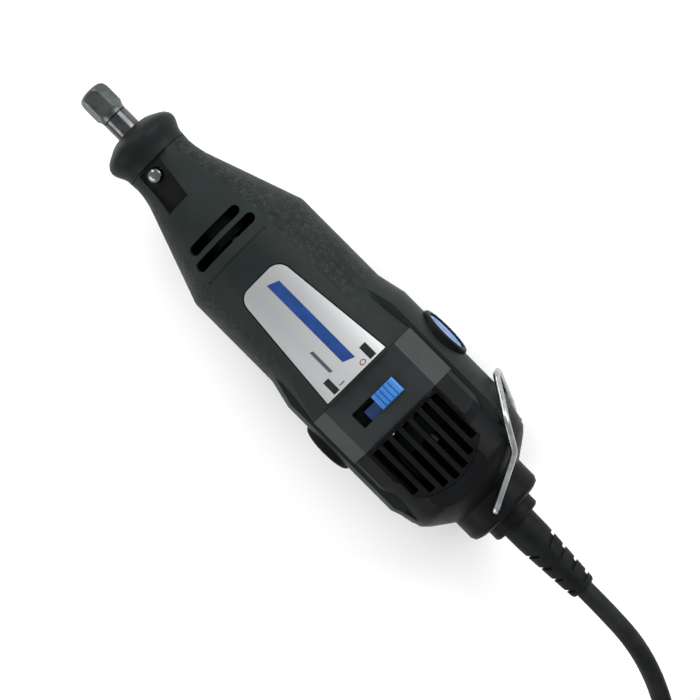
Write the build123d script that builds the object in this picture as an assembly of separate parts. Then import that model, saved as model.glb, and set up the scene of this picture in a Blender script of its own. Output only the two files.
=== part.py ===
from build123d import *
import os
from math import cos, pi, radians, sin, sqrt, tan

# A corded rotary hobby tool lying on its back. Millimetres. X runs from the collet's mouth back to the
# cord along the spindle, Y across the tool through its two brush caps, Z up out of the name-plate face.
# The origin is the mouth of the collet's bore, on the spindle's axis.

# ---- driving dimensions ----
SHANK_R = 1.6            # 3.2 mm accessory shank
NUT_ACROSS_FLATS = 9.53  # 3/8 inch spanner
NUT_LENGTH = 11.7
SPINDLE_R = 4.65         # visible part of the spindle
BEARING_SHAFT_R = 4.0
MOTOR_SHAFT_R = 3.5
NOSE_THREAD_R = 9.5      # 3/4 inch nose thread, drawn plain
NOSE_START = 21.5
CAP_FRONT = 19.1
CAP_REAR = 32.2
BARREL_R = 24.75
BARREL_START = 74.6
FACET_SLOPE = 0.37       # how fast the flat round the lock pin rises towards the barrel
FACET_Z = 10.05          # its height where the nose cap ends
FACET_END = 52.0
REST_Z = -23.9           # flat on the tool's back, and the surface that it lies on
RAIL_R = 27.05
RAIL_HALF_Z = 13.2
GROOVE_TOP_Z = 14.7
GROOVE_FLOOR_Y = 20.2
PANEL_START = 129.4
PANEL_END = 148.5
PANEL_Z = 20.5
SHOULDER_Y = 16.0        # where the flat top turns into the sloping shoulders
SHOULDER_FOOT_Y = 22.4
REAR_TOP_Z = 21.9
CAP_SPLIT_X = 171.5
CAP_WING_Y = 20.5
GRILLE_START = 149.2
GRILLE_CENTRE_X = 153.0
GRILLE_R = 22.3
GRILLE_Z = 21.4
HUB_START = 186.0
HUB_END = 195.4
HUB_R = 14.7
COLLAR_END = 200.2
COLLAR_R = 9.15
RELIEF_END = 231.2
CORD_R = 3.3
BRUSH_X = 138.9
BRUSH_OUT_Y = 28.3
BRUSH_CUP_R = 9.65
PIN_X = 36.1
PIN_TILT = 12.0          # the lock pin leans this many degrees towards -Y
SWITCH_X = 139.4
CASE_SCREWS = ((54.0, 12.3), (126.0, 20.4))
CASE_SEAT_Z = -8.8
REAR_SCREW_Y = 21.2
REAR_SCREW_Z = -7.0
ARMATURE_SLOTS = 12
HANGER_X = 191.3
HANGER_Z = 16.0
WIRE_R = 1.15
COIL_X = 335.5
COIL_R = 34.0
COIL_BUNDLE_R = 9.6
COIL_Z = REST_Z + 0.6 + COIL_BUNDLE_R
FAR = 80.0               # further out than any surface

os.makedirs("parts", exist_ok=True)


# ---- helpers ----
def turned(*points):
    """A solid turned about the X axis from the (x, radius) points of its outline."""
    return revolve(make_face(Polyline(*points, close=True)), axis=Axis.X)


def tube(x0, x1, r_out, r_in=0.0):
    """A round bar or sleeve along X."""
    return turned((x0, r_in), (x1, r_in), (x1, r_out), (x0, r_out))


def sector(x0, x1, r_in, r_out, middle, half):
    """Part of a sleeve along X; middle and half are degrees, and 0 is +Y, 90 is +Z."""
    outline = make_face(Polyline((x0, r_in), (x1, r_in), (x1, r_out), (x0, r_out), close=True))
    return Rot(X=middle - half) * revolve(outline, axis=Axis.X, revolution_arc=2 * half)


def block(x0, x1, y0, y1, z0, z1):
    """A box from its two corners."""
    return Pos((x0 + x1) / 2, (y0 + y1) / 2, (z0 + z1) / 2) * Box(x1 - x0, y1 - y0, z1 - z0)


def post(x, y, z0, z1, r):
    """A round bar along Z."""
    return Pos(x, y, (z0 + z1) / 2) * Cylinder(r, z1 - z0)


def crossbar(x, z, y0, y1, r):
    """A round bar along Y."""
    return Pos(x, (y0 + y1) / 2, z) * Rot(X=90) * Cylinder(r, abs(y1 - y0))


def prism_x(x0, x1, *points):
    """A bar along X from its (y, z) outline."""
    return extrude(Plane.YZ.offset(x0) * make_face(Polyline(*points, close=True)), amount=x1 - x0)


def prism_z(z0, z1, sketch):
    """An upright bar from a flat outline."""
    return extrude(Plane.XY.offset(z0) * sketch, amount=z1 - z0)


def both_sides(shape):
    """A shape and its mirror image across the XZ plane."""
    return shape + mirror(shape, about=Plane.XZ)


def pieces(*shapes):
    """Separate solids that share one node."""
    solids = [solid for shape in shapes for solid in shape.solids()]
    return Compound(children=solids)


def softened(shape, edges, radius):
    """The shape with its edges rounded, or as it was where they can't be."""
    try:
        return fillet(edges, radius)
    except (ValueError, RuntimeError):
        print("not rounded:", radius)
        return shape


def save(name, shape):
    solids = shape.solids()
    if len(solids) > 1:
        shape = Compound(children=list(solids))
    export_step(shape, f"parts/{name}.step")


# ---- housing ----
def outer_body():
    """The whole outside, before it is divided into shells."""
    body = turned(
        (NOSE_START, 0), (NOSE_START, NOSE_THREAD_R), (CAP_REAR, NOSE_THREAD_R), (CAP_REAR, 12.0),
        (34.5, 11.85), (37.4, 12.1), (41.1, 12.9), (44.9, 14.2), (48.8, 15.6), (72.6, 24.0), (73.8, 24.5),
        (BARREL_START + 0.6, BARREL_R), (176, BARREL_R), (178.8, 23.9), (180.8, 21.9), (182.8, 19.2),
        (HUB_START, HUB_R), (HUB_END - 2.2, HUB_R), (HUB_END - 0.7, HUB_R - 0.7), (HUB_END, HUB_R - 2.2),
        (HUB_END, COLLAR_R), (COLLAR_END - 0.6, COLLAR_R), (COLLAR_END, COLLAR_R - 0.6), (COLLAR_END, 0),
    )
    rails = turned(
        (110, 0), (110, 24.7), (120.1, RAIL_R), (168, RAIL_R), (171.6, 25.8), (176, 24.9), (176, 0)
    )
    rails = rails & block(110, 176, -FAR, FAR, -RAIL_HALF_Z, RAIL_HALF_Z)
    body = body + rails
    for upper_shoulder in (shoulders(), mirror(shoulders(), about=Plane.XY)):
        body = body + both_sides(upper_shoulder)
    return body


def shoulders():
    """The sloping shoulder on +Y: it swells out of the barrel, and is higher behind the panel."""
    foot = ((SHOULDER_FOOT_Y, GROOVE_TOP_Z), (17.5, 14.0), (12.0, 14.0))
    front = prism_x(110, PANEL_START, (12.0, 18.5), (15.2, 19.55), *foot)
    rear = prism_x(PANEL_START, 167, (12.0, PANEL_Z), (SHOULDER_Y, PANEL_Z), *foot)
    swell = turned((109, 0), (109, 24.4), (PANEL_START, 26.4), (160, 26.4), (168, 24.0), (168, 0))
    return (front + rear) & swell


def grooves():
    """The long grooves that part the side rails from the middle, each with a pointed front end."""
    outline = Polyline(
        (112, 14.0), (119, GROOVE_TOP_Z), (CAP_SPLIT_X, GROOVE_TOP_Z), (CAP_SPLIT_X, RAIL_HALF_Z),
        (119, RAIL_HALF_Z), close=True,
    )
    cut = extrude(Plane.XZ.offset(-GROOVE_FLOOR_Y) * make_face(outline), amount=-10)
    cut = cut + mirror(cut, about=Plane.XY)
    return both_sides(cut)


def outside_cuts():
    """Everything that is taken off the outside: flats, grooves, a moulded line and the thumb recess."""
    facet_top = FACET_Z + FACET_SLOPE * (FACET_END - CAP_REAR)
    facet = extrude(
        Plane.XZ * make_face(
            Polyline((CAP_REAR, FACET_Z), (FACET_END, facet_top), (FACET_END, 40), (CAP_REAR, 40), close=True)
        ),
        amount=FAR, both=True,
    )
    moulded_line = tube(73.7, 74.4, 30, 24.15) & block(70, 80, -13, 13, 0, FAR)
    rear_flat = block(PANEL_START, HUB_START, -FAR, FAR, REAR_TOP_Z, FAR)
    back_flat = block(CAP_REAR, HUB_START, -FAR, FAR, -FAR, REST_Z)
    rear_back_flat = block(150.0, HUB_START, -FAR, FAR, -FAR, -REAR_TOP_Z)
    ramp = extrude(
        Plane.XZ * make_face(Polyline((32.6, 9.2), (48.6, 12.2), (48.6, 30), (32.6, 30), close=True)),
        amount=4.7, both=True,
    )
    flats = facet + rear_flat + back_flat + rear_back_flat
    return flats + grooves() + moulded_line + Rot(X=PIN_TILT) * ramp


def cavity():
    """The hollow inside: seats for four bearings, the fan chamber, the motor and the rear."""
    front = turned(
        (NOSE_START - 1, 0), (NOSE_START - 1, 5.2), (24, 5.2), (24, 8.0), (29, 8.0), (29, 4.6), (41, 4.6),
        (41, 9.5), (47, 9.5), (47, 9.0), (57, 9.0), (57, 15.0), (70, 20.4), (73, 22.2),
        (128.2, 22.2), (128.2, 0),
    )
    rear = turned(
        (128.2, 0), (128.2, 22.2), (166, 22.2), (176, 21.4), (180, 18.6), (184, 13.5), (186, 11.5),
        (HUB_END - 2.6, 11.5), (HUB_END - 2.6, 6.45), (COLLAR_END + 1, 6.45), (COLLAR_END + 1, 0),
    )
    return front + (rear & block(128, FAR * 3, -FAR, FAR, -18.2, 18.2))


def bearing_spider(x0, x1, r_seat, r_sleeve, reach):
    """A sleeve that holds a motor bearing, carried by one rib to each side."""
    sleeve = tube(x0, x1, r_sleeve)
    ribs = block(x0, x1, -reach, reach, -3, 3)
    return sleeve + ribs - tube(x0 - 1, x1 + 1, r_seat)


def vent(x, length, width):
    """A slot with round ends, straight down through the top."""
    return prism_z(2, FAR, Pos(x, 0) * Rot(Z=90) * SlotOverall(length, width))


def plate_outline(grow=0.0):
    """The name plate from above: narrow and rounded in front, wide and straight at the rear."""
    outline = make_face(
        Polyline(
            (84.4 - grow, -9.0 - grow), (84.4 - grow, 9.0 + grow), (128.4 + grow, 13.2 + grow),
            (128.4 + grow, -13.2 - grow), close=True,
        )
    )
    front = outline.vertices().sort_by(Axis.X)[:2]
    return fillet(front, 4.6 + grow)


def shell():
    """Both halves of the case and the rear cap, still in one piece, with all their holes."""
    outside = outer_body() - outside_cuts()
    whole = outside - cavity()
    whole = whole + bearing_spider(60, 68.2, 9.5, 12.0, 18.2)
    whole = whole + bearing_spider(151.5, 159, 11.6, 13.6, 23.5)
    for x, length in ((63.0, 22.0), (68.3, 26.0)):
        whole = whole - (vent(x, length, 3.6) - tube(40, 80, 12.4))
        whole = whole - mirror(vent(x, length, 3.6) - tube(40, 80, 12.4), about=Plane.XY)
    for x, y in CASE_SCREWS[1:]:
        whole = whole + (both_sides(post(x, y, -13.0, 11.0, 3.3)) & outside)
    for x, y in CASE_SCREWS:
        hole = post(x, y, -30, CASE_SEAT_Z, 3.2) + post(x, y, CASE_SEAT_Z - 1, 8.5, 1.6)
        whole = whole - both_sides(hole)
    pocket = prism_z(10, FAR, plate_outline(0.45)) - tube(70, 135, 24.3)
    back_pocket = block(88.0, 118.0, -5.2, 5.2, REST_Z - 1, REST_Z + 0.5)
    pin_hole = post(PIN_X, 0, 0, 30, 1.3) + post(PIN_X, 0, 6.2, 30, 2.65)
    whole = whole - pocket - back_pocket - Rot(X=PIN_TILT) * pin_hole
    whole = whole - crossbar(BRUSH_X, 0, 8, FAR, 9.7) - crossbar(BRUSH_X, 0, -FAR, -8, 9.7)
    return whole


def panel_space():
    """The room that the switch panel takes out of the case."""
    return block(PANEL_START, PANEL_END, -24, 24, GROOVE_TOP_Z - 0.6, FAR)


def cap_space(gap):
    """The room that the rear cap takes: the whole rear end and two wings between the rails."""
    end = block(CAP_SPLIT_X - gap, FAR * 3, -FAR, FAR, -FAR, FAR)
    wings = block(PANEL_END + 0.2 - gap, CAP_SPLIT_X + 1, -CAP_WING_Y - gap, CAP_WING_Y + gap, -FAR, FAR)
    middle = block(PANEL_END - 2, CAP_SPLIT_X - gap, -FAR, FAR, -GROOVE_TOP_Z + 0.6, GROOVE_TOP_Z - 0.6)
    return end + (wings - middle)


def grille_space(side):
    """The rear grille seen from above: a straight front edge and a round rear."""
    disc = Pos(GRILLE_CENTRE_X, 0) * Circle(GRILLE_R)
    outline = disc & Pos(GRILLE_START + 15, 0) * Rectangle(30, 29.6)
    space = prism_z(17.0, FAR, outline)
    return space if side > 0 else mirror(space, about=Plane.XY)


def rear_grille(side, longest_slot):
    """A plate with seven slots that run along the tool, and a thin rim."""
    disc = Pos(GRILLE_CENTRE_X, 0) * Circle(GRILLE_R - 0.1)
    outline = disc & Pos(GRILLE_START + 15.05, 0) * Rectangle(29.9, 29.4)
    plate = prism_z(18.2, GRILLE_Z, outline)
    slot_width = 2.8
    for i in range(-3, 4):
        y = 4.4 * i
        reach = sqrt((GRILLE_R - 0.8) ** 2 - (abs(y) + slot_width / 2) ** 2)
        x0 = GRILLE_START + 0.8
        x1 = min(GRILLE_CENTRE_X + reach, x0 + longest_slot)
        slot = Pos((x0 + x1) / 2, y) * RectangleRounded(x1 - x0, slot_width, 0.5)
        plate = plate - prism_z(15, FAR, slot)
    return plate if side > 0 else mirror(plate, about=Plane.XY)


def clamp_base():
    """The block inside the rear cap that the cord is clamped against."""
    base = block(176.0, 182.0, -10.0, 10.0, -18.6, -0.4) & tube(170, 184, 19.4)
    base = base - tube(170, 184, CORD_R)
    for y in (-7.0, 7.0):
        base = base - post(179.0, y, -10, 1, 1.3)
    return base


def case_parts():
    """The two halves of the case, the rear cap, the switch panel and the two grilles."""
    whole = shell()
    case = whole - panel_space() - cap_space(0.1)
    cap = (whole & cap_space(0.0)) - grille_space(1) - grille_space(-1)
    seats = turned((CAP_SPLIT_X, 0), (CAP_SPLIT_X, 24.5), (178, 24.0), (178, 0))
    cap_boss = Pos(174.6, REAR_SCREW_Y, REAR_SCREW_Z) * Rot(Y=90) * Cylinder(3.6, 6.2)
    cap = cap + both_sides(cap_boss & seats) + clamp_base()
    case_boss = Pos(165.5, REAR_SCREW_Y, REAR_SCREW_Z) * Rot(Y=90) * Cylinder(3.4, 11.5)
    case = case + both_sides(case_boss)
    head_hole = Pos(184, REAR_SCREW_Y, REAR_SCREW_Z) * Rot(Y=90) * Cylinder(3.2, 16)
    shank_hole = Pos(169, REAR_SCREW_Y, REAR_SCREW_Z) * Rot(Y=90) * Cylinder(1.6, 22)
    cap = cap - both_sides(head_hole) - both_sides(shank_hole)
    case = case - both_sides(shank_hole)
    cap = cap - post(HANGER_X, 0, 11.0, 20, WIRE_R + 0.05) - post(HANGER_X, 0, -20, -11.0, WIRE_R + 0.05)
    upper = case & block(0, 300, -FAR, FAR, 0, FAR)
    lower = case & block(0, 300, -FAR, FAR, -FAR, 0)
    return largest(upper), largest(lower), largest(cap)


def largest(shape):
    return shape.solids().sort_by(SortBy.VOLUME)[-1]


def switch_panel():
    """The arched cover over the switch, with the slot for its knob."""
    outline = ((-22.3, 14.15), (-SHOULDER_Y, PANEL_Z), (SHOULDER_Y, PANEL_Z), (22.3, 14.15), (19.2, 14.15),
               (14.6, 18.3), (-14.6, 18.3), (-19.2, 14.15))
    panel = prism_x(PANEL_START + 0.1, PANEL_END - 0.1, *outline)
    slot = prism_z(10, FAR, Pos(SWITCH_X, -1.2) * RectangleRounded(6.2, 18.6, 0.5))
    long_edges = [e for e in panel.edges().filter_by(Axis.X) if e.center().Z > PANEL_Z - 0.1]
    return softened(panel, long_edges, 0.8) - slot


def switch_knob():
    """The raised slider and the plate under it, which shows through the slot as a lower step."""
    plate = block(SWITCH_X - 3.7, SWITCH_X + 3.7, -7.2, 11.6, 16.5, 18.1)
    grip = block(SWITCH_X - 2.95, SWITCH_X + 2.95, -1.5, 7.9, 17, 22.4)
    grip = softened(grip, grip.edges().group_by(Axis.Z)[-1], 0.6)
    for i in range(4):
        grip = grip - block(SWITCH_X - 4, SWITCH_X + 4, 0.1 + 1.8 * i, 0.6 + 1.8 * i, 22.0, 23)
    stem = block(SWITCH_X - 1.5, SWITCH_X + 1.5, 1.0, 5.0, 15.6, 17)
    notch = block(SWITCH_X - 4, SWITCH_X - 0.9, -8, -1.7, 16, 19)
    return plate - notch + grip + stem


def switch_body():
    """The switch itself, with a slot for the knob's stem and two terminals."""
    body = block(132.0, 147.2, -12, 10, 10.6, 16.3) - block(SWITCH_X - 1.8, SWITCH_X + 1.8, -7.5, 6.5, 15, 17)
    for y in (-8.0, 6.0):
        body = body + block(147.2, 149.6, y - 1.2, y + 1.2, 12.4, 13.2)
    return body


def name_plate():
    """A thin curved plate, flush with the barrel."""
    return prism_z(10, FAR, plate_outline()) & tube(80, 130, 24.85, 24.35)


def rating_plate():
    """A thin blank plate in the flat on the tool's back."""
    return block(88.3, 117.7, -4.9, 4.9, REST_Z + 0.1, REST_Z + 0.45)


# ---- nose ----
def nose_cap():
    """The screwed cap that guards the nose thread; its thread is drawn plain with running clearance."""
    ring = turned(
        (CAP_FRONT, 6.3), (CAP_FRONT, 7.2), (19.5, 8.4), (21.1, 11.4), (22.1, 12.8), (23.3, 13.75),
        (24.6, 14.1), (25.8, 13.95), (27.1, 13.4), (29.0, 12.45), (30.2, 12.1),
        (CAP_REAR - 0.15, 12.05), (CAP_REAR - 0.15, NOSE_THREAD_R + 0.08),
        (NOSE_START - 0.3, NOSE_THREAD_R + 0.08), (NOSE_START - 0.3, 6.3),
    )
    return ring


def collet_nut():
    """The hexagon nut with a domed front; the spindle's thread is drawn plain with running clearance."""
    bar = turned(
        (0, 2.3), (0, 3.4), (0.35, 4.3), (1.1, 5.0), (2.6, 5.5), (9.0, 5.5), (10.4, 4.75), (NUT_LENGTH, 4.6),
        (NUT_LENGTH, 3.45), (3.2, 3.45), (2.0, 2.45), (1.4, 2.3),
    )
    outline = RegularPolygon(NUT_ACROSS_FLATS / 2, 6, major_radius=False)
    hexagon = extrude(Plane.YZ * outline, amount=NUT_LENGTH + 1)
    return bar & hexagon


def collet():
    """The slit spring collet that grips the accessory's shank."""
    body = turned(
        (0, SHANK_R), (0, 2.2), (1.5, 2.2), (2.2, 2.4), (20, 2.4), (20, SHANK_R),
    )
    slits = block(-1, 14, -3, 3, -0.2, 0.2) + block(-1, 14, -0.2, 0.2, -3, 3)
    return body - slits


def spindle():
    """The output spindle: nut thread, bright collar, bearing seats and drive end."""
    shaft = turned(
        (3.4, 2.45), (3.4, 3.4), (NUT_LENGTH + 0.1, 3.4), (NUT_LENGTH + 0.1, SPINDLE_R - 0.3),
        (NUT_LENGTH + 0.4, SPINDLE_R), (23.6, SPINDLE_R), (23.6, BEARING_SHAFT_R), (47.2, BEARING_SHAFT_R),
        (47.2, 3.0), (53.5, 3.0), (53.5, 0), (30, 0), (30, 2.1), (20.3, 2.1), (20.3, 2.45),
    )
    return shaft - Rot(X=PIN_TILT) * post(PIN_X, 0, -6, 6, 1.4)


def lock_pin():
    """The domed push pin that drops into the spindle's cross hole."""
    profile = make_face(
        Polyline(
            (0, 4.5), (0.8, 4.5), (1.15, 4.9), (1.15, 9.7), (2.45, 9.7), (2.45, 12.0), (2.15, 12.45),
            (1.5, 12.8), (0.8, 12.95), (0, 13.0), close=True,
        )
    )
    return Rot(X=PIN_TILT) * Pos(PIN_X, 0, 0) * Rot(X=90) * revolve(profile, axis=Axis.Y)


def spring_wire(radius, wire, pitch, height):
    """A coil spring along Z, standing on the XY plane."""
    path = Helix(pitch, height, radius)
    start = Plane(origin=path @ 0, z_dir=path % 0)
    return sweep(start * Circle(wire), path=path, is_frenet=True)


def lock_spring():
    spring = spring_wire(1.85, 0.28, 0.95, 2.8)
    return Rot(X=PIN_TILT) * Pos(PIN_X, 0, 6.52) * spring


# ---- bearings ----
def bearing(x0, width, r_bore, r_out, ball_r, balls):
    """A ball bearing's outer ring, inner ring and balls, with a little clearance in its grooves."""
    middle = x0 + width / 2
    pitch = (r_bore + r_out) / 2
    land = 0.62 * ball_r
    groove = Pos(middle, 0, 0) * Rot(Y=90) * Torus(pitch, ball_r + 0.03)
    outer = tube(x0, x0 + width, r_out, pitch + land) - groove
    inner = tube(x0, x0 + width, pitch - land, r_bore) - groove
    ring = [
        Rot(X=360 * i / balls) * Pos(middle, pitch, 0) * Sphere(ball_r)
        for i in range(balls)
    ]
    return outer, inner, pieces(*ring)


# ---- motor ----
def drive_coupling():
    """The rubber sleeve that joins the spindle to the motor shaft."""
    sleeve = turned(
        (48, 3.0), (48, 6.6), (49, 7.4), (58, 7.4), (59, 6.6), (59, 3.5), (54.2, 3.5), (54.2, 3.0),
    )
    for i in range(6):
        sleeve = sleeve - Rot(X=60 * i) * block(49.5, 57.5, 6.6, 9, -0.8, 0.8)
    return sleeve


def armature_shaft():
    return turned((54.6, 0), (54.6, 3.2), (55, MOTOR_SHAFT_R), (162.6, MOTOR_SHAFT_R), (163, 3.1), (163, 0))


def cooling_fan():
    """A back disc with nine blades and a hub on the motor shaft."""
    fan = turned(
        (71, MOTOR_SHAFT_R), (71, 6.4), (79, 6.8), (79, 20.4), (80.2, 20.4), (80.2, MOTOR_SHAFT_R),
    )
    for i in range(9):
        fan = fan + Rot(X=40 * i) * block(71.6, 79.2, 6.0, 20.0, -0.6, 0.6)
    return fan


def armature_core():
    """The laminated rotor: twelve teeth round a solid middle."""
    core = tube(88, 116, 12.5, MOTOR_SHAFT_R)
    for i in range(ARMATURE_SLOTS):
        core = core - Rot(X=360 / ARMATURE_SLOTS * i) * block(87, 117, 7.2, 14, -1.4, 1.4)
    return core


def armature_windings():
    """Copper in the slots, and the end turns at both ends of the core."""
    front = turned((82.5, 4.6), (82.0, 6.0), (82.0, 9.5), (84.0, 11.6), (88, 11.8), (88, 4.6))
    rear = turned((116, 4.6), (116, 11.8), (122, 11.6), (125, 9.2), (125, 6.0), (124.5, 4.6))
    winding = front + rear
    for i in range(ARMATURE_SLOTS):
        winding = winding + Rot(X=360 / ARMATURE_SLOTS * i) * block(87.5, 116.5, 7.4, 11.7, -1.25, 1.25)
    return winding


def commutator():
    """Copper segments on an insulating sleeve, with a riser at the winding end."""
    drum = turned(
        (129.6, MOTOR_SHAFT_R), (129.6, 9.4), (131.4, 9.4), (131.4, 8.0), (146, 8.0), (146, MOTOR_SHAFT_R)
    )
    for i in range(2 * ARMATURE_SLOTS):
        drum = drum - Rot(X=180 / ARMATURE_SLOTS * i) * block(129, 147, 7.3, 10, -0.15, 0.15)
    return drum


def field_core():
    """The laminated stator: a ring with one pole above and one below the rotor."""
    ring = tube(84, 118, 21.9, 17.6)
    poles = sector(84, 118, 13.0, 18.0, 90, 52) + sector(84, 118, 13.0, 18.0, 270, 52)
    return ring + poles


def field_coils():
    """One coil round each pole."""
    def coil(middle):
        return sector(80.8, 122.4, 13.4, 17.3, middle, 74) - sector(83.8, 118.2, 12, 19, middle, 53)
    return pieces(coil(90), coil(270))


def bearing_boot():
    """The rubber sleeve round the rear bearing."""
    return tube(152, 158.6, 11.6, 9.5) + tube(158, 159.2, 11.6, 6.5)


# ---- brushes, each built on +Y and mirrored ----
def brush_holder():
    """The moulded holder that goes through the case, with the cup that shows outside."""
    cup = crossbar(BRUSH_X, 0, 11.5, BRUSH_OUT_Y, BRUSH_CUP_R)
    cup = softened(cup, cup.edges().filter_by(GeomType.CIRCLE).sort_by(Axis.Y)[-1:], 0.9)
    cup = cup - crossbar(BRUSH_X, 0, BRUSH_OUT_Y - 1.85, FAR, 7.75) - crossbar(BRUSH_X, 0, 21.5, 28, 6.1)
    return cup - block(BRUSH_X - 4.1, BRUSH_X + 4.1, 10, 22, -3.1, 3.1)


def brush_sleeve():
    tube_out = block(BRUSH_X - 4.05, BRUSH_X + 4.05, 10.2, 21.3, -3.05, 3.05)
    return tube_out - block(BRUSH_X - 3.4, BRUSH_X + 3.4, 9, 23, -2.4, 2.4)


def carbon_brush():
    block_out = block(BRUSH_X - 3.3, BRUSH_X + 3.3, 7.0, 16.2, -2.3, 2.3)
    return block_out - tube(120, 150, 8.06)


def brush_spring():
    spring = spring_wire(1.8, 0.25, 0.95, 5.0)
    return Pos(BRUSH_X, 16.5, 0) * Rot(X=-90) * spring


def brush_cap():
    """The slotted screw cap; its thread is drawn plain with running clearance."""
    under, top = BRUSH_OUT_Y - 1.75, BRUSH_OUT_Y - 0.55
    cap = crossbar(BRUSH_X, 0, under, top, 7.65) + crossbar(BRUSH_X, 0, 22.0, under + 0.1, 6.0)
    cap = softened(cap, cap.edges().filter_by(GeomType.CIRCLE).sort_by(Axis.Y)[-1:], 0.4)
    return cap - block(BRUSH_X - 5.6, BRUSH_X + 5.6, top - 0.9, top + 1, -0.75, 0.75)


# ---- fasteners, leads and cord fittings ----
def case_screw(length):
    """A pan-head screw that points up, its head's underside at the origin."""
    screw = post(0, 0, -2.0, 0, 2.9) + post(0, 0, -0.1, length, 1.5)
    screw = softened(screw, screw.edges().filter_by(GeomType.CIRCLE).group_by(Axis.Z)[0], 0.7)
    return screw - block(-1.7, 1.7, -0.35, 0.35, -3, -1.0) - block(-0.35, 0.35, -1.7, 1.7, -3, -1.0)


def case_screws():
    upright = [Pos(x, s * y, CASE_SEAT_Z) * case_screw(16.6) for x, y in CASE_SCREWS for s in (1, -1)]
    rear = [Pos(176, s * REAR_SCREW_Y, REAR_SCREW_Z) * Rot(Y=-90) * case_screw(16.6) for s in (1, -1)]
    return pieces(*upright, *rear)


def cord_clamp():
    """The saddle that holds the cord against the rear cap's block."""
    saddle = block(176.2, 181.8, -9.6, 9.6, 0.4, 5.4) - tube(170, 184, CORD_R)
    for y in (-7.0, 7.0):
        saddle = saddle - post(179.0, y, -1, 7, 1.4)
    return saddle


def clamp_screws():
    screws = [
        post(179.0, y, 5.4, 6.9, 2.2) + post(179.0, y, -7, 5.5, 1.25)
        - block(176, 182, y - 0.3, y + 0.3, 6.4, 8)
        for y in (-7.0, 7.0)
    ]
    return pieces(*screws)


def lead(points, radii, r):
    """An insulated wire along a bent line."""
    path = FilletPolyline(*points, radius=radii)
    return sweep(Plane(origin=path @ 0, z_dir=path % 0) * Circle(r), path=path)


def motor_leads():
    """The four insulated leads: mains to switch and to a brush, and switch to the field."""
    return pieces(
        lead([(149.8, 6.0, 12.8), (160.0, 6.0, 16.6), (169.0, 5.0, 13.5), (174.5, 3.2, 8.2)], [5, 6], 0.9),
        lead([(149.8, -8.0, 12.8), (158, -9.4, 16.2), (166, -9.6, 15.2), (172, -8.4, 9.8)], [5, 6], 0.9),
        lead([(123.4, 13.0, 9.5), (127.0, 13.2, 12.2), (131.4, 8.0, 13.6)], [3], 0.9),
        lead([(123.4, -13.0, 9.5), (127.0, -13.2, 12.2), (131.4, -9.0, 13.6)], [3], 0.9),
    )


def hanger():
    """The bent-wire bail: two inward ends in the hub's holes, and a rounded tip over the +Y side."""
    half = [(HANGER_X, 0, 11.6), (HANGER_X, 0, HANGER_Z), (181.8, 18.2, HANGER_Z), (172.0, 23.9, HANGER_Z),
            (160.4, 30.1, 4.6)]
    points = half + [(x, y, -z) for x, y, z in reversed(half)]
    path = FilletPolyline(*points, radius=[1.25, 7.0, 7.0, 3.4, 3.4, 7.0, 7.0, 1.25])
    return sweep(Plane(origin=path @ 0, z_dir=path % 0) * Circle(WIRE_R), path=path)


def strain_relief():
    """The tapered rubber sleeve: four slanted slits in each side, and a plain spine above and below."""
    flange_end = HUB_END - 2.8
    body = turned(
        (189.0, CORD_R), (189.0, 8.6), (flange_end, 8.6), (flange_end, 6.4), (208, 6.2),
        (RELIEF_END - 0.8, 4.75), (RELIEF_END, 4.2), (RELIEF_END, CORD_R),
    )
    slit_floor = turned((200, 0), (200, 5.4), (208, 5.4), (RELIEF_END, 3.9), (RELIEF_END, 0))
    for i in range(4):
        slit = Pos(211.0 + 5.45 * i, 5.6, 0) * Rot(Z=28) * Box(1.15, 8.4, 20)
        body = body - (both_sides(slit) - slit_floor)
    return body


def cord_lead_in():
    """The cord inside the strain relief, up to the clamp."""
    return tube(172.5, RELIEF_END, CORD_R)


# ---- free cord ----
# The stretch from the strain relief to the coil, and the stretch from the coil to the plug.
CORD_ROUTE = [
    (RELIEF_END, 0.0, 0.0), (244.0, 0.0, 0.0), (257.0, -1.2, -2.0), (270.0, -5.6, -7.0),
    (282.0, -12.2, -13.0), (293.0, -19.8, -17.8), (302.5, -26.9, -20.4), (311.9, -33.7, -20.6),
]
TAIL_ROUTE = [
    (338.3, -40.5, -14.6), (351.9, -39.6, -17.2), (365.5, -38.6, -19.2), (375.2, -35.1, -20.2),
    (383.3, -28.8, -20.2), (389.1, -20.3, -19.0), (391.9, -10.4, -17.2), (391.9, -0.9, -16.2),
]
PLUG_START = TAIL_ROUTE[-1]


def corner_radii(points):
    """The arc at each corner: 0.45 of the shorter run, divided by the tangent of half the turn."""
    radii = []
    for a, b, c in zip(points, points[1:], points[2:]):
        first = Vector(*b) - Vector(*a)
        second = Vector(*c) - Vector(*b)
        turn = radians(first.get_angle(second))
        radii.append(0.45 * min(first.length, second.length) / tan(turn / 2))
    return radii


def cord_tube(points, name):
    radii = corner_radii(points)
    path = FilletPolyline(*points, radius=radii)
    solid = sweep(Plane(origin=path @ 0, z_dir=path % 0) * Circle(CORD_R), path=path)
    ideal = pi * CORD_R ** 2 * path.length
    print(name, "radii", [round(r, 1) for r in radii], "length", round(path.length, 1),
          "volume ratio", round(solid.volume / ideal, 4))
    return solid


def cord_coil():
    """The closed outer shape of seven turns of cord."""
    return Pos(COIL_X, 0, COIL_Z) * Torus(COIL_R, COIL_BUNDLE_R)


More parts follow.
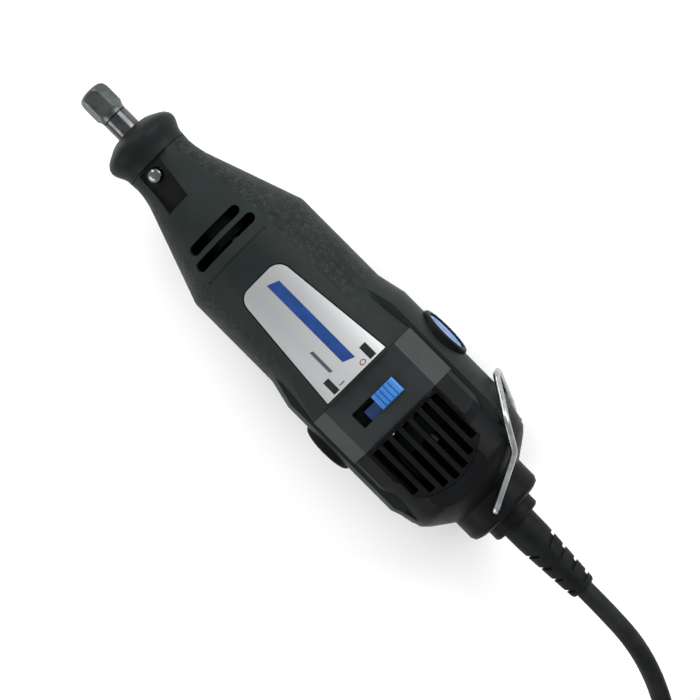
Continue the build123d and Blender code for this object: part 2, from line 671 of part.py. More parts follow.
def cord_tie():
    """A flat strap round the bundle of turns, on its far side."""
    y0, y1 = COIL_R - COIL_BUNDLE_R - 0.1, COIL_R + COIL_BUNDLE_R + 0.1
    z0, z1 = REST_Z + 0.55, REST_Z + 0.65 + 2 * COIL_BUNDLE_R
    outer = block(COIL_X - 3, COIL_X + 3, y0 - 0.5, y1 + 0.5, REST_Z, z1 + 0.5)
    outer = softened(outer, outer.edges().filter_by(Axis.X), 5.0)
    inner = block(COIL_X - 4, COIL_X + 4, y0, y1, z0, z1)
    inner = softened(inner, inner.edges().filter_by(Axis.X), 4.5)
    return outer - inner - Pos(COIL_X, 0, COIL_Z) * Torus(COIL_R, COIL_BUNDLE_R + 0.02)


def plug_body():
    """The moulded plug, lying flat, with its own short sleeve towards the cord."""
    x, y, z = PLUG_START
    sleeve = Pos(x, y + 5, z) * Rot(X=-90) * Cone(4.0, 5.6, 10)
    body = block(x - 11.5, x + 11.5, y + 9.5, y + 28, REST_Z, REST_Z + 15.4)
    body = softened(body, body.edges().filter_by(Axis.Y), 4.0)
    body = softened(body, body.edges().group_by(Axis.Y)[-1], 1.0)
    return body + sleeve


def plug_blades():
    x, y, z = PLUG_START
    blades = []
    for side in (-1, 1):
        centre = x + 6.35 * side
        blade = block(centre - 0.75, centre + 0.75, y + 28, y + 44.5, z - 3.15, z + 3.15)
        tip_hole = Pos(centre, y + 40.5, z) * Rot(Y=90) * Cylinder(1.6, 4)
        blades.append(blade - tip_hole)
    return pieces(*blades)


# ---- write the parts ----
def main():
    upper, lower, cap = case_parts()
    save("housing_upper", upper)
    save("housing_lower", lower)
    save("rear_cap", cap)
    save("switch_panel", switch_panel())
    save("rear_grille_upper", rear_grille(1, 29.0))
    save("rear_grille_lower", rear_grille(-1, 9.5))
    for maker in (
        switch_knob, switch_body, name_plate, rating_plate, nose_cap, collet_nut, collet, spindle, lock_pin,
        lock_spring, drive_coupling, armature_shaft, cooling_fan, armature_core, armature_windings, commutator,
        field_core, field_coils, bearing_boot, case_screws, cord_clamp, clamp_screws, motor_leads, hanger,
        strain_relief, cord_lead_in, cord_coil, cord_tie, plug_body, plug_blades,
    ):
        save(maker.__name__, maker())
    for name, x0, width, bore, out, ball, count in (
        ("nose_bearing", 24, 5, 4.0, 8.0, 1.19, 9),
        ("spindle_bearing", 41, 6, 4.0, 9.5, 1.6, 7),
        ("motor_bearing", 61, 6, 3.5, 9.5, 1.75, 7),
        ("rear_bearing", 152, 6, 3.5, 9.5, 1.75, 7),
    ):
        outer, inner, balls = bearing(x0, width, bore, out, ball, count)
        save(f"{name}_outer_ring", outer)
        save(f"{name}_inner_ring", inner)
        save(f"{name}_balls", balls)
    for maker in (brush_holder, brush_sleeve, carbon_brush, brush_spring, brush_cap):
        piece = maker()
        save(f"{maker.__name__}_left", piece)
        save(f"{maker.__name__}_right", mirror(piece, about=Plane.XZ))
    save("power_cord", cord_tube(CORD_ROUTE, "power_cord"))
    save("cord_tail", cord_tube(TAIL_ROUTE, "cord_tail"))


main()
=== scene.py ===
import math

import bmesh
import bpy
from mathutils import Matrix, Vector


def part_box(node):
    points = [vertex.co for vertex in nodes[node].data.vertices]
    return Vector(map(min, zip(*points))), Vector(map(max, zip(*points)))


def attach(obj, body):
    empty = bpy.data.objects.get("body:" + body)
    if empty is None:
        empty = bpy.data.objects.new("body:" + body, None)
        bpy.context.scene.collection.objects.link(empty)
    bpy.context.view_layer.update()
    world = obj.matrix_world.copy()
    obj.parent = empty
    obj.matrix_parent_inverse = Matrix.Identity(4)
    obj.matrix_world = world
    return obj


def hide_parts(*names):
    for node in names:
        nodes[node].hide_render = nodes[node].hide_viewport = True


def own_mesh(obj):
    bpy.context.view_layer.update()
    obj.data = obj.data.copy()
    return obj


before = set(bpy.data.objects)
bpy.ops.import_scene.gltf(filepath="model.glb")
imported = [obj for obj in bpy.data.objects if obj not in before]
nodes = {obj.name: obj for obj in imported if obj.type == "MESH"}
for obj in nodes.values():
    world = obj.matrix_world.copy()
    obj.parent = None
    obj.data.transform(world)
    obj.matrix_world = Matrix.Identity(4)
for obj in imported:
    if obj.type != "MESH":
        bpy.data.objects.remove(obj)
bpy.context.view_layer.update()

MM = 0.001


# ---- places read from the frame ----
def centre(node):
    low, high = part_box(node)
    return (low + high) / 2


FLOOR_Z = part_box("housing_lower")[0].z
PLATE_LOW, PLATE_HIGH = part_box("name_plate")
PLATE_RADIUS = PLATE_HIGH.z                # the plate is curved about the axis of the tool
PLATE_Y = centre("name_plate").y
CORD_RADIUS = (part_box("cord_lead_in")[1].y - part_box("cord_lead_in")[0].y) / 2
COIL_LOW, COIL_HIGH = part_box("cord_coil")
COIL_CENTRE = centre("cord_coil")
# From the coil's centre to the middle of its bundle of turns.
COIL_RADIUS = (COIL_HIGH.x - COIL_LOW.x) / 2 - (COIL_HIGH.z - COIL_LOW.z) / 2


# ---- camera, light and floor ----
CAMERA_ROLL = math.radians(10.0)      # the camera looks from a little to the +Y side of straight above
CAMERA_TURN = math.radians(45.15)     # the tool lies from the upper left to the lower right
CAMERA_DISTANCE = 0.76
CAMERA_LENS = 118.4
AIM_X = 0.1211
AIM_UP = 0.0007
LIT_POINT = Vector((0.12, 0, 0))
# Each lamp's name, its place from the lit point along the tool, across it and towards the camera, its
# size and its power in watts.
LAMPS = (
    ("key_light", -0.1, 0.75, 0.62, (0.8, 0.6), 11),
    ("front_light", -0.9, 0.1, 0.5, (0.7, 0.5), 6),
    ("fill_light", 0.0, -0.95, 0.35, (0.9, 0.45), 5),
)
SKY_STRENGTH = 0.75
FLOOR_HALF_WIDTH = 3


def make_camera():
    along = Vector((1, 0, 0))
    across = Vector((0, math.cos(CAMERA_ROLL), -math.sin(CAMERA_ROLL)))
    back = Vector((0, math.sin(CAMERA_ROLL), math.cos(CAMERA_ROLL)))
    right = along * math.cos(CAMERA_TURN) + across * math.sin(CAMERA_TURN)
    up = across * math.cos(CAMERA_TURN) - along * math.sin(CAMERA_TURN)
    place = Vector((AIM_X, 0, 0)) + across * AIM_UP + back * CAMERA_DISTANCE
    data = bpy.data.cameras.new("camera")
    data.lens = CAMERA_LENS
    data.clip_start = 0.01
    camera = bpy.data.objects.new("camera", data)
    turn = Matrix((right, up, back)).transposed().to_4x4()
    camera.matrix_world = Matrix.Translation(place) @ turn
    bpy.context.scene.collection.objects.link(camera)
    bpy.context.scene.camera = camera
    return right, up, back


def area_light(name, place, size, power):
    data = bpy.data.lights.new(name, "AREA")
    data.shape = "RECTANGLE"
    data.size, data.size_y = size
    data.energy = power
    light = bpy.data.objects.new(name, data)
    light.location = place
    light.rotation_euler = (LIT_POINT - place).to_track_quat("-Z", "Y").to_euler()
    bpy.context.scene.collection.objects.link(light)


def make_lights(right, up, back):
    """Three soft lamps, placed as the camera sees the tool, under an even white sky."""
    forward = (right - up).normalized()
    across = (right + up).normalized()
    for name, ahead, aside, above, size, power in LAMPS:
        area_light(name, LIT_POINT + forward * ahead + across * aside + back * above, size, power)
    world = bpy.data.worlds.new("studio")
    world.use_nodes = True
    sky = world.node_tree.nodes["Background"]
    sky.inputs["Color"].default_value = (1, 1, 1, 1)
    sky.inputs["Strength"].default_value = SKY_STRENGTH
    bpy.context.scene.world = world
    bpy.context.scene.view_settings.view_transform = "Standard"


def make_floor():
    mesh = bpy.data.meshes.new("floor")
    shape = bmesh.new()
    bmesh.ops.create_grid(shape, x_segments=1, y_segments=1, size=FLOOR_HALF_WIDTH)
    shape.to_mesh(mesh)
    shape.free()
    floor = bpy.data.objects.new("floor", mesh)
    floor.location = (LIT_POINT.x, 0, FLOOR_Z)
    bpy.context.scene.collection.objects.link(floor)
    paper = Paint("floor_paper", (0.93, 0.93, 0.93), 0.95, specular=0.1)
    mesh.materials.append(paper.material)


# ---- materials ----
class Paint:
    """A node material: the shader's own values first, then texture layers added one by one."""

    def __init__(self, name, colour, roughness, metallic=0.0, specular=0.5, coat=0.0):
        self.material = bpy.data.materials.new(name)
        self.material.use_nodes = True
        self.tree = self.material.node_tree
        self.shader = self.tree.nodes["Principled BSDF"]
        self.colour = (*colour, 1)
        self.shader.inputs["Base Color"].default_value = self.colour
        self.shader.inputs["Roughness"].default_value = roughness
        self.shader.inputs["Metallic"].default_value = metallic
        self.shader.inputs["Specular IOR Level"].default_value = specular
        self.shader.inputs["Coat Weight"].default_value = coat
        self.roughness = roughness
        self.place = self.node("ShaderNodeTexCoord").outputs["Object"]
        self.bump_from = None

    def node(self, kind, **settings):
        made = self.tree.nodes.new(kind)
        for key, value in settings.items():
            setattr(made, key, value)
        return made

    def link(self, output, target):
        self.tree.links.new(output, target)

    def math(self, operation, first, second=0.0, third=0.0):
        made = self.node("ShaderNodeMath", operation=operation)
        for socket, value in zip(made.inputs, (first, second, third)):
            if isinstance(value, (int, float)):
                socket.default_value = value
            else:
                self.link(value, socket)
        return made.outputs[0]

    def axes(self):
        split = self.node("ShaderNodeSeparateXYZ")
        self.link(self.place, split.inputs[0])
        return split.outputs

    def stretched(self, scale):
        """Object coordinates, stretched by a scale along each axis."""
        mapping = self.node("ShaderNodeMapping")
        mapping.inputs["Scale"].default_value = scale
        self.link(self.place, mapping.inputs["Vector"])
        return mapping.outputs[0]

    def noise(self, scale, detail=3.0, rough=0.5, stretch=None):
        made = self.node("ShaderNodeTexNoise")
        made.inputs["Scale"].default_value = scale
        made.inputs["Detail"].default_value = detail
        made.inputs["Roughness"].default_value = rough
        self.link(self.stretched(stretch) if stretch else self.place, made.inputs["Vector"])
        return made.outputs["Fac"]

    def cells(self, scale):
        made = self.node("ShaderNodeTexVoronoi", feature="SMOOTH_F1")
        made.inputs["Scale"].default_value = scale
        made.inputs["Smoothness"].default_value = 0.6
        self.link(self.place, made.inputs["Vector"])
        return made.outputs["Distance"]

    def ramp(self, value, low, high, start=0.0, end=1.0):
        """value mapped smoothly from low..high to start..end."""
        made = self.node("ShaderNodeMapRange", interpolation_type="SMOOTHSTEP")
        made.inputs["From Min"].default_value = low
        made.inputs["From Max"].default_value = high
        made.inputs["To Min"].default_value = start
        made.inputs["To Max"].default_value = end
        self.link(value, made.inputs["Value"])
        return made.outputs[0]

    def mix(self, factor, first, second):
        made = self.node("ShaderNodeMix", data_type="RGBA")
        self.link(factor, made.inputs[0])
        for socket, value in ((made.inputs[6], first), (made.inputs[7], second)):
            if isinstance(value, tuple):
                socket.default_value = value
            else:
                self.link(value, socket)
        return made.outputs[2]

    def vary_colour(self, other, scale):
        """Blotches of another colour."""
        self.tint(self.ramp(self.noise(scale, 4.0, 0.6), 0.35, 0.65), other)

    def tint(self, factor, other):
        """Another colour where factor is 1."""
        socket = self.shader.inputs["Base Color"]
        below = socket.links[0].from_socket if socket.is_linked else self.colour
        self.link(self.mix(factor, below, (*other, 1)), socket)

    def vary_roughness(self, scale, spread, stretch=None):
        value = self.ramp(
            self.noise(scale, 4.0, 0.6, stretch), 0.3, 0.7, self.roughness - spread, self.roughness + spread
        )
        self.link(value, self.shader.inputs["Roughness"])

    def bump(self, height, distance, strength=1.0):
        """Relief on top of what is there; distance is in metres."""
        made = self.node("ShaderNodeBump")
        made.inputs["Strength"].default_value = strength
        made.inputs["Distance"].default_value = distance
        self.link(height, made.inputs["Height"])
        if self.bump_from is not None:
            self.link(self.bump_from, made.inputs["Normal"])
        self.bump_from = made.outputs[0]
        self.link(self.bump_from, self.shader.inputs["Normal"])


# Where the pebbled grip begins on the flanks, and where it fades out towards the rear.
GRIP_SLOPE = 0.20
GRIP_EDGE = 1.2 * MM
GRIP_EDGE_ON_BARREL = 15.2 * MM
GRIP_FADE = (106 * MM, 124 * MM)
CASE_GREY = (0.0118, 0.0158, 0.0152)
CAP_BLACK = (0.0035, 0.0038, 0.0042)
# Painted shade for the thumb recess and the inner wall of the nose.
RECESS_SHADE = (0.0045, 0.0048, 0.0052)


def case_plastic():
    """Grey-green moulded plastic: pebbled grip on the flanks, smooth along the top and rear, with painted
    shade in the grip's hollows, the thumb recess and the nose's inner wall.
    """
    paint = Paint("case_plastic", CASE_GREY, 0.50, specular=0.065)
    x, y, z = paint.axes()
    side = paint.math("ABSOLUTE", y)
    band = paint.math("MINIMUM", paint.math("MULTIPLY_ADD", x, GRIP_SLOPE, GRIP_EDGE), GRIP_EDGE_ON_BARREL)
    grip = paint.ramp(paint.math("SUBTRACT", side, band), -0.3 * MM, 0.5 * MM)
    rear_end = paint.math("MULTIPLY_ADD", side, 0.30, x)
    grip = paint.math("MULTIPLY", grip, paint.ramp(rear_end, *GRIP_FADE, 1.0, 0.0))
    cells = paint.cells(950)
    paint.vary_colour((0.0098, 0.0132, 0.0127), 60)
    patches = paint.math("MULTIPLY", grip, paint.ramp(paint.noise(430, 2.0), 0.40, 0.68))
    paint.tint(patches, (0.0215, 0.0275, 0.0262))
    # Painted shade: the grip's pebble hollows are tinted darker.
    hollow_shade = paint.math("MULTIPLY", grip, paint.ramp(cells, 0.1, 0.7, 0.0, 0.7))
    paint.tint(hollow_shade, (0.0052, 0.0074, 0.0070))
    distance = axis_distance(paint, y, z)
    # Painted shade: the floor and walls of the thumb recess are tinted near black.
    paint.tint(recess_shade_mask(paint, x, distance), RECESS_SHADE)
    # Painted shade: the nose's inner wall, seen through the air vents, is tinted near black.
    paint.tint(inside_shade_mask(paint, x, distance), RECESS_SHADE)
    paint.vary_roughness(90, 0.05)
    paint.bump(paint.math("MULTIPLY", cells, grip), 0.16 * MM, 0.6)
    paint.bump(paint.noise(2600, 3.0), 0.03 * MM, 0.5)
    return paint.material


def axis_distance(paint, y, z):
    """How far a point is from the axis of the tool."""
    return paint.math("SQRT", paint.math("ADD", paint.math("MULTIPLY", y, y), paint.math("MULTIPLY", z, z)))


def inside_shade_mask(paint, x, distance):
    """1 on the inner wall of the nose, where it shows through the air vents; painted shade goes there."""
    wall = paint.math("MULTIPLY_ADD", x, 0.415, -8.1 * MM)
    within = paint.ramp(paint.math("SUBTRACT", wall, distance), -0.4 * MM, 0.2 * MM)
    start = paint.ramp(x, 56 * MM, 57 * MM)
    end = paint.ramp(x, 74 * MM, 75 * MM, 1.0, 0.0)
    return paint.math("MULTIPLY", within, paint.math("MULTIPLY", start, end))


def recess_shade_mask(paint, x, distance):
    """1 on the floor and walls of the thumb recess, below the cone of the nose; painted shade goes there.
    """
    cone = paint.math("MAXIMUM", paint.math("MULTIPLY_ADD", x, 0.31, 0.35 * MM), 11.6 * MM)
    below = paint.ramp(paint.math("SUBTRACT", cone, distance), 0.2 * MM, 1.0 * MM)
    start = paint.ramp(x, 36.5 * MM, 39.5 * MM)
    end = paint.ramp(x, 48.7 * MM, 49.2 * MM, 1.0, 0.0)
    along = paint.math("MULTIPLY", start, end)
    outside = paint.ramp(distance, 9.0 * MM, 9.5 * MM)
    return paint.math("MULTIPLY", paint.math("MULTIPLY", below, along), outside)


def smooth_plastic(name, colour, roughness, other, specular=0.05):
    """Moulded plastic with a fine spark-eroded grain."""
    paint = Paint(name, colour, roughness, specular=specular)
    paint.vary_colour(other, 70)
    paint.vary_roughness(120, 0.05)
    paint.bump(paint.noise(2600, 3.0), 0.04 * MM, 0.6)
    return paint.material


def glossy_paint(name, colour, other, specular=0.35):
    """Glossy moulded plastic with slight flow marks."""
    paint = Paint(name, colour, 0.30, specular=specular)
    paint.vary_colour(other, 180)
    paint.vary_roughness(300, 0.06)
    paint.bump(paint.noise(1500, 2.0), 0.02 * MM, 0.5)
    return paint


KNOB_GRIP_HEIGHT = 4.2 * MM


def knob_plastic():
    """Blue slider, with a painted highlight towards its +Y end and painted shade where its lower step lies
    inside the slot.
    """
    paint = glossy_paint("knob_blue", (0.018, 0.105, 0.34), (0.028, 0.15, 0.42))
    _, y, z = paint.axes()
    knob_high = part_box("switch_knob")[1]
    step_top = knob_high.z - KNOB_GRIP_HEIGHT
    # Painted highlight: lighter blue towards the knob's +Y end.
    paint.tint(paint.ramp(y, knob_high.y - 9 * MM, knob_high.y - 3 * MM, 0.0, 0.35), (0.07, 0.24, 0.50))
    # Painted shade: dark blue on the lower step, which lies inside the slot.
    paint.tint(paint.ramp(z, step_top - 0.05 * MM, step_top + 0.6 * MM, 0.85, 0.0), (0.003, 0.016, 0.075))
    return paint.material


def turned_steel(name, colour, roughness, other):
    """Machined steel with fine rings round the X axis."""
    paint = Paint(name, colour, roughness, metallic=1.0)
    paint.vary_colour(other, 160)
    paint.vary_roughness(220, 0.08)
    paint.bump(paint.noise(1.0, 2.0, 0.5, (2600, 40, 40)), 0.03 * MM, 0.5)
    return paint.material


def wire_steel(name, colour, roughness, other):
    """Drawn steel wire with faint lengthwise marks."""
    paint = Paint(name, colour, roughness, metallic=1.0)
    paint.vary_colour(other, 120)
    paint.vary_roughness(400, 0.06)
    paint.bump(paint.noise(700, 2.0), 0.004 * MM, 0.4)
    return paint.material


SHEET_THICKNESS = 0.5 * MM


def laminated_steel():
    """Stacked sheets: fine dark lines across the X axis."""
    paint = Paint("laminated_steel", (0.30, 0.30, 0.31), 0.45, metallic=1.0)
    x, _, _ = paint.axes()
    wave = paint.math("SINE", paint.math("MULTIPLY", x, 2 * math.pi / SHEET_THICKNESS))
    paint.tint(paint.ramp(wave, 0.6, 1.0), (0.09, 0.09, 0.10))
    paint.vary_roughness(200, 0.08)
    paint.bump(wave, 0.05 * MM, 0.6)
    return paint.material


def copper_wire(name, colour):
    """Enamelled winding wire, laid in fine turns."""
    paint = Paint(name, colour, 0.32, metallic=1.0, coat=0.3)
    paint.vary_colour((colour[0] * 0.6, colour[1] * 0.5, colour[2] * 0.5), 240)
    paint.vary_roughness(300, 0.08)
    paint.bump(paint.noise(1.0, 2.0, 0.5, (300, 2600, 2600)), 0.1 * MM, 0.7)
    return paint.material


def rubber(name, colour, roughness=0.62):
    """Matt rubber with a very fine bloom."""
    paint = Paint(name, colour, roughness, specular=0.06)
    paint.vary_colour((colour[0] * 1.6, colour[1] * 1.6, colour[2] * 1.6), 140)
    paint.vary_roughness(180, 0.07)
    paint.bump(paint.noise(1800, 3.0), 0.05 * MM, 0.6)
    return paint.material


def plate_foil():
    """Satin silver foil, with painted light towards its rear end and painted shade towards its -Y side."""
    paint = Paint("plate_foil", (0.25, 0.255, 0.262), 0.45, metallic=0.25, specular=0.2)
    x, y, _ = paint.axes()
    # Painted light: lighter towards the rear end of the plate.
    paint.tint(paint.ramp(x, PLATE_LOW.x, PLATE_HIGH.x, 0.0, 0.8), (0.38, 0.385, 0.392))
    # Painted shade: darker towards the plate's -Y side.
    paint.tint(paint.ramp(y, -1 * MM, -13 * MM, 0.0, 0.45), (0.17, 0.175, 0.18))
    paint.vary_roughness(1.0, 0.06, (200, 3000, 3000))
    paint.bump(paint.noise(2400, 2.0), 0.02 * MM, 0.4)
    return paint.material


def ink(name, colour):
    """Printed ink with slightly uneven cover."""
    paint = Paint(name, colour, 0.5, specular=0.15)
    paint.vary_colour((colour[0] * 1.25, colour[1] * 1.25, colour[2] * 1.25), 400)
    paint.vary_roughness(500, 0.05)
    paint.bump(paint.noise(3000, 2.0), 0.01 * MM, 0.4)
    return paint.material


materials = {
    "case": case_plastic(),
    "cap": smooth_plastic("cap_plastic", CAP_BLACK, 0.42, (0.0050, 0.0054, 0.0060)),
    "panel": smooth_plastic("panel_plastic", (0.012, 0.0148, 0.0148), 0.38, (0.016, 0.019, 0.019), 0.20),
    "nose_cap": smooth_plastic(
        "nose_cap_plastic", (0.0068, 0.0082, 0.0084), 0.42, (0.0095, 0.0112, 0.0112)
    ),
    "black": smooth_plastic("black_plastic", (0.0035, 0.0038, 0.0040), 0.42, (0.0052, 0.0055, 0.0058)),
    "fan": smooth_plastic("fan_plastic", (0.010, 0.010, 0.011), 0.5, (0.014, 0.014, 0.015)),
    "carbon": smooth_plastic("carbon", (0.03, 0.03, 0.032), 0.5, (0.06, 0.06, 0.062)),
    "knob_blue": knob_plastic(),
    "cap_blue": glossy_paint("cap_blue", (0.038, 0.120, 0.32), (0.056, 0.158, 0.37), 0.6).material,
    "dark_steel": turned_steel("dark_steel", (0.085, 0.096, 0.094), 0.34, (0.055, 0.062, 0.060)),
    "shaft_steel": turned_steel("shaft_steel", (0.085, 0.088, 0.09), 0.17, (0.05, 0.052, 0.054)),
    "ground_steel": turned_steel("ground_steel", (0.36, 0.365, 0.37), 0.32, (0.26, 0.265, 0.27)),
    "bright_steel": wire_steel("bright_steel", (0.19, 0.197, 0.20), 0.16, (0.11, 0.115, 0.118)),
    "wire": wire_steel("hanger_wire", (0.40, 0.415, 0.42), 0.26, (0.26, 0.27, 0.275)),
    "spring": wire_steel("spring_wire", (0.5, 0.51, 0.52), 0.3, (0.38, 0.39, 0.4)),
    "screw": wire_steel("screw_steel", (0.20, 0.205, 0.21), 0.3, (0.13, 0.134, 0.138)),
    "brass": wire_steel("brass", (0.66, 0.48, 0.20), 0.3, (0.5, 0.36, 0.15)),
    "laminated": laminated_steel(),
    "copper": copper_wire("copper", (0.62, 0.25, 0.10)),
    "commutator": turned_steel("commutator_copper", (0.68, 0.34, 0.18), 0.28, (0.45, 0.2, 0.1)),
    "rubber": rubber("black_rubber", (0.0060, 0.0062, 0.0066)),
    "relief": rubber("relief_rubber", (0.0045, 0.0052, 0.0054), 0.5),
    "jacket": rubber("cord_jacket", (0.0080, 0.0088, 0.0092), 0.48),
    "plate": plate_foil(),
    "rating": smooth_plastic("rating_film", (0.05, 0.055, 0.06), 0.35, (0.06, 0.065, 0.07)),
    "ink_blue": ink("ink_blue", (0.008, 0.030, 0.125)),
    "ink_grey": ink("ink_grey", (0.045, 0.047, 0.052)),
    "ink_black": ink("ink_black", (0.0030, 0.0033, 0.0036)),
    "ink_red": ink("ink_red", (0.17, 0.035, 0.04)),
}

NODE_MATERIALS = {
    "case": ["housing_upper", "housing_lower"],
    "cap": ["rear_cap", "rear_grille_upper", "rear_grille_lower"],
    "panel": ["switch_panel"],
    "nose_cap": ["nose_cap"],
    "black": ["switch_body", "brush_holder_left", "brush_holder_right", "cord_clamp"],
    "fan": ["cooling_fan"],
    "carbon": ["carbon_brush_left", "carbon_brush_right"],
    "knob_blue": ["switch_knob"],
    "cap_blue": ["brush_cap_left", "brush_cap_right"],
    "dark_steel": ["collet_nut"],
    "shaft_steel": ["spindle", "armature_shaft"],
    "bright_steel": ["lock_pin", "collet"],
    "wire": ["hanger"],
    "spring": ["lock_spring", "brush_spring_left", "brush_spring_right"],
    "screw": ["case_screws", "clamp_screws"],
    "brass": ["brush_sleeve_left", "brush_sleeve_right", "plug_blades"],
    "laminated": ["armature_core", "field_core"],
    "copper": ["armature_windings", "field_coils"],
    "commutator": ["commutator"],
    "rubber": ["drive_coupling", "bearing_boot", "plug_body", "cord_tie", "motor_leads"],
    "relief": ["strain_relief"],
    "jacket": ["power_cord", "cord_tail", "cord_coil", "cord_lead_in"],
    "plate": ["name_plate"],
    "rating": ["rating_plate"],
}


def paint_cad_nodes():
    for key, names in NODE_MATERIALS.items():
        for name in names:
            nodes[name].data.materials.clear()
            nodes[name].data.materials.append(materials[key])
    for name, node in nodes.items():
        if name.endswith(("_ring", "_balls")):
            node.data.materials.clear()
            node.data.materials.append(materials["ground_steel"])


# Width of the rounding on the edges of moulded and turned pieces, in millimetres.
EDGE_ROUNDING = {
    "housing_upper": 0.30, "housing_lower": 0.30, "rear_cap": 0.35, "switch_panel": 0.25,
    "rear_grille_upper": 0.22, "rear_grille_lower": 0.22, "nose_cap": 0.30, "collet_nut": 0.25,
    "brush_holder_left": 0.30, "brush_holder_right": 0.30, "brush_cap_left": 0.15, "brush_cap_right": 0.15,
    "strain_relief": 0.20, "name_plate": 0.06, "switch_knob": 0.15, "plug_body": 0.25,
}
SHARP_ANGLE = math.radians(32)


def round_edges():
    """Small rounded edges on the CAD pieces that show, as modifiers that leave the meshes alone."""
    for name, width in EDGE_ROUNDING.items():
        node = nodes[name]
        weld = node.modifiers.new("weld", "WELD")
        weld.merge_threshold = 0.001 * MM
        bevel = node.modifiers.new("bevel", "BEVEL")
        bevel.width = width * MM
        bevel.segments = 2
        bevel.limit_method = "ANGLE"
        bevel.angle_limit = SHARP_ANGLE
        flats = node.modifiers.new("flat_faces", "WEIGHTED_NORMAL")
        flats.keep_sharp = True


# ---- marks printed on the name plate ----
MARK_STEPS = 8                        # rows of a bar, which follows the curve of the plate
RING_STEPS = 24
INK_PROUD = 0.035 * MM
INK_BURIED = 0.03 * MM


def printed_mark(name, grid, paint, closed=False):
    """A film of ink on the curved plate, from rows of (x, y) points in metres."""
    mesh = bpy.data.meshes.new(name)
    shape = bmesh.new()
    layers = []
    for radius in (PLATE_RADIUS + INK_PROUD, PLATE_RADIUS - INK_BURIED):
        rows = [[shape.verts.new((x, y, math.sqrt(radius ** 2 - y ** 2))) for x, y in row] for row in grid]
        layers.append(rows + rows[:1] if closed else rows)
    top, bottom = layers
    for row in range(len(top) - 1):
        for column in range(len(top[0]) - 1):
            corners = ((row, column), (row + 1, column), (row + 1, column + 1), (row, column + 1))
            shape.faces.new([top[i][j] for i, j in corners])
            shape.faces.new([bottom[i][j] for i, j in reversed(corners)])
    close_rim(shape, top, bottom)
    bmesh.ops.recalc_face_normals(shape, faces=shape.faces)
    shape.to_mesh(mesh)
    shape.free()
    mesh.materials.append(materials[paint])
    mark = bpy.data.objects.new(name, mesh)
    bpy.context.scene.collection.objects.link(mark)
    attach(mark, "housing")


def close_rim(shape, top, bottom):
    """The thin wall between the two faces of a mark."""
    matching = {}
    for top_row, bottom_row in zip(top, bottom):
        for upper, lower in zip(top_row, bottom_row):
            matching[upper] = lower
    rim = [edge for edge in shape.edges if len(edge.link_faces) == 1 and edge.verts[0] in matching]
    for edge in rim:
        first, second = edge.verts
        shape.faces.new((first, second, matching[second], matching[first]))


def bar_grid(x0, x1, y0, y1, slant=0.0):
    """Rows of points for a bar; slant is how far its upper side is moved along X."""
    grid = []
    for i in range(MARK_STEPS + 1):
        y = y0 + (y1 - y0) * i / MARK_STEPS
        shift = slant * i / MARK_STEPS
        grid.append([((x0 + shift) * MM, PLATE_Y + y * MM), ((x1 + shift) * MM, PLATE_Y + y * MM)])
    return grid


def ring_grid(x, y, outer, inner):
    """Rows of points for an upright oval ring."""
    grid = []
    for i in range(RING_STEPS):
        angle = 2 * math.pi * i / RING_STEPS
        grid.append([
            ((x + radius * 0.8 * math.cos(angle)) * MM, PLATE_Y + (y + radius * math.sin(angle)) * MM)
            for radius in (outer, inner)
        ])
    return grid


def plate_marks():
    """A plain blue band, a grey line, and the O and I marks beside the switch, each with its bar."""
    printed_mark("mark_blue_band", bar_grid(87.8, 122.2, 0.6, 4.6, slant=1.6), "ink_blue")
    printed_mark("mark_grey_line", bar_grid(112.6, 121.6, -5.0, -3.8, slant=0.5), "ink_grey")
    printed_mark("mark_bar_off", bar_grid(122.6, 127.8, 7.5, 10.0), "ink_black")
    printed_mark("mark_bar_on", bar_grid(122.6, 127.8, -9.1, -6.6), "ink_black")
    printed_mark("mark_off", ring_grid(126.7, 5.2, 1.15, 0.75), "ink_red", closed=True)
    printed_mark("mark_on", bar_grid(126.6, 127.0, -5.5, -3.3), "ink_grey")


# ---- the mains cord ----
# The cord's points in millimetres, from the strain relief to the coil and from the coil to the plug.
CORD_ROUTE = [
    (231.2, 0.0, 0.0), (244.0, 0.0, 0.0), (257.0, -1.2, -2.0), (270.0, -5.6, -7.0),
    (282.0, -12.2, -13.0), (293.0, -19.8, -17.8), (302.5, -26.9, -20.4), (311.9, -33.7, -20.6),
]
TAIL_ROUTE = [
    (338.3, -40.5, -14.6), (351.9, -39.6, -17.2), (365.5, -38.6, -19.2), (375.2, -35.1, -20.2),
    (383.3, -28.8, -20.2), (389.5, -18.8, -18.8), (391.9, -7.0, -16.8), (391.9, -0.9, -16.2),
]
# Where each turn lies: cord diameters from the middle of the bundle, and its layer above the floor.
TURN_PLACES = ((0.5, 0), (-0.5, 0), (-1.0, 1), (0.0, 1), (-0.5, 2), (0.5, 2), (1.0, 1))
COIL_STEP = 15                        # degrees between two points of a turn
CROSSING = 80                         # degrees over which the cord passes from one place to the next


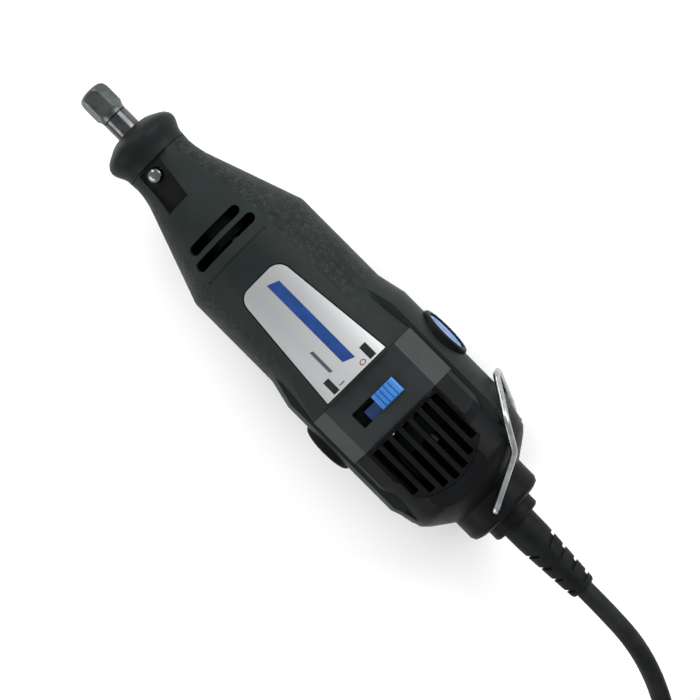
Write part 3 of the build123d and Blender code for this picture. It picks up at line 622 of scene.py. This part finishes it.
def coil_points(entry, leaving):
    """The coil's turns, wound anticlockwise from the entry point to the leaving point."""
    first = math.degrees(math.atan2(entry.y - COIL_CENTRE.y, entry.x - COIL_CENTRE.x))
    last = math.degrees(math.atan2(leaving.y - COIL_CENTRE.y, leaving.x - COIL_CENTRE.x))
    last += 360 * len(TURN_PLACES)
    layer_rise = 2 * CORD_RADIUS * math.sin(math.radians(60))
    lowest = COIL_LOW.z + CORD_RADIUS
    places = [(math.hypot(entry.x - COIL_CENTRE.x, entry.y - COIL_CENTRE.y), entry.z)]
    for out, layer in TURN_PLACES:
        places.append((COIL_RADIUS + 2 * CORD_RADIUS * out, lowest + layer_rise * layer))
    points = []
    steps = int((last - first) / COIL_STEP)
    for step in range(1, steps + 1):
        travelled = (last - first) * step / (steps + 1)
        turn = min(int(travelled // 360), len(TURN_PLACES) - 1)
        share = min((travelled - 360 * turn) / CROSSING, 1.0)
        share = share * share * (3 - 2 * share)
        radius, height = (a + (b - a) * share for a, b in zip(places[turn], places[turn + 1]))
        angle = math.radians(first + travelled)
        points.append(Vector((
            COIL_CENTRE.x + radius * math.cos(angle), COIL_CENTRE.y + radius * math.sin(angle), height
        )))
    return points


def power_cord():
    """The whole cord, as one smooth line from the strain relief through the coil to the plug."""
    start = [Vector(point) * MM for point in CORD_ROUTE]
    tail = [Vector(point) * MM for point in TAIL_ROUTE]
    points = start + coil_points(start[-1], tail[0]) + tail
    curve = bpy.data.curves.new("mains_cord", "CURVE")
    curve.dimensions = "3D"
    curve.resolution_u = 4
    curve.bevel_depth = CORD_RADIUS
    curve.bevel_resolution = 6
    curve.use_fill_caps = True
    spline = curve.splines.new("NURBS")
    spline.points.add(len(points) - 1)
    for knot, point in zip(spline.points, points):
        knot.co = (*point, 1)
    spline.order_u = 3
    spline.use_endpoint_u = True
    curve.materials.append(materials["jacket"])
    cord = bpy.data.objects.new("mains_cord", curve)
    bpy.context.scene.collection.objects.link(cord)
    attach(cord, "housing")
    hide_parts("power_cord", "cord_coil", "cord_tail")


# ---- the lock pin's spring ----
def pin_spring():
    """The spring under the lock pin, as a copy with a mesh of its own; the real spring shortens as the pin
    is pressed.
    """
    spring = bpy.data.objects.new("pin_spring", nodes["lock_spring"].data.copy())
    bpy.context.scene.collection.objects.link(spring)
    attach(spring, "housing")
    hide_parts("lock_spring")
    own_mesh(spring)


make_floor()
make_lights(*make_camera())
paint_cad_nodes()
round_edges()
pin_spring()
plate_marks()
power_cord()
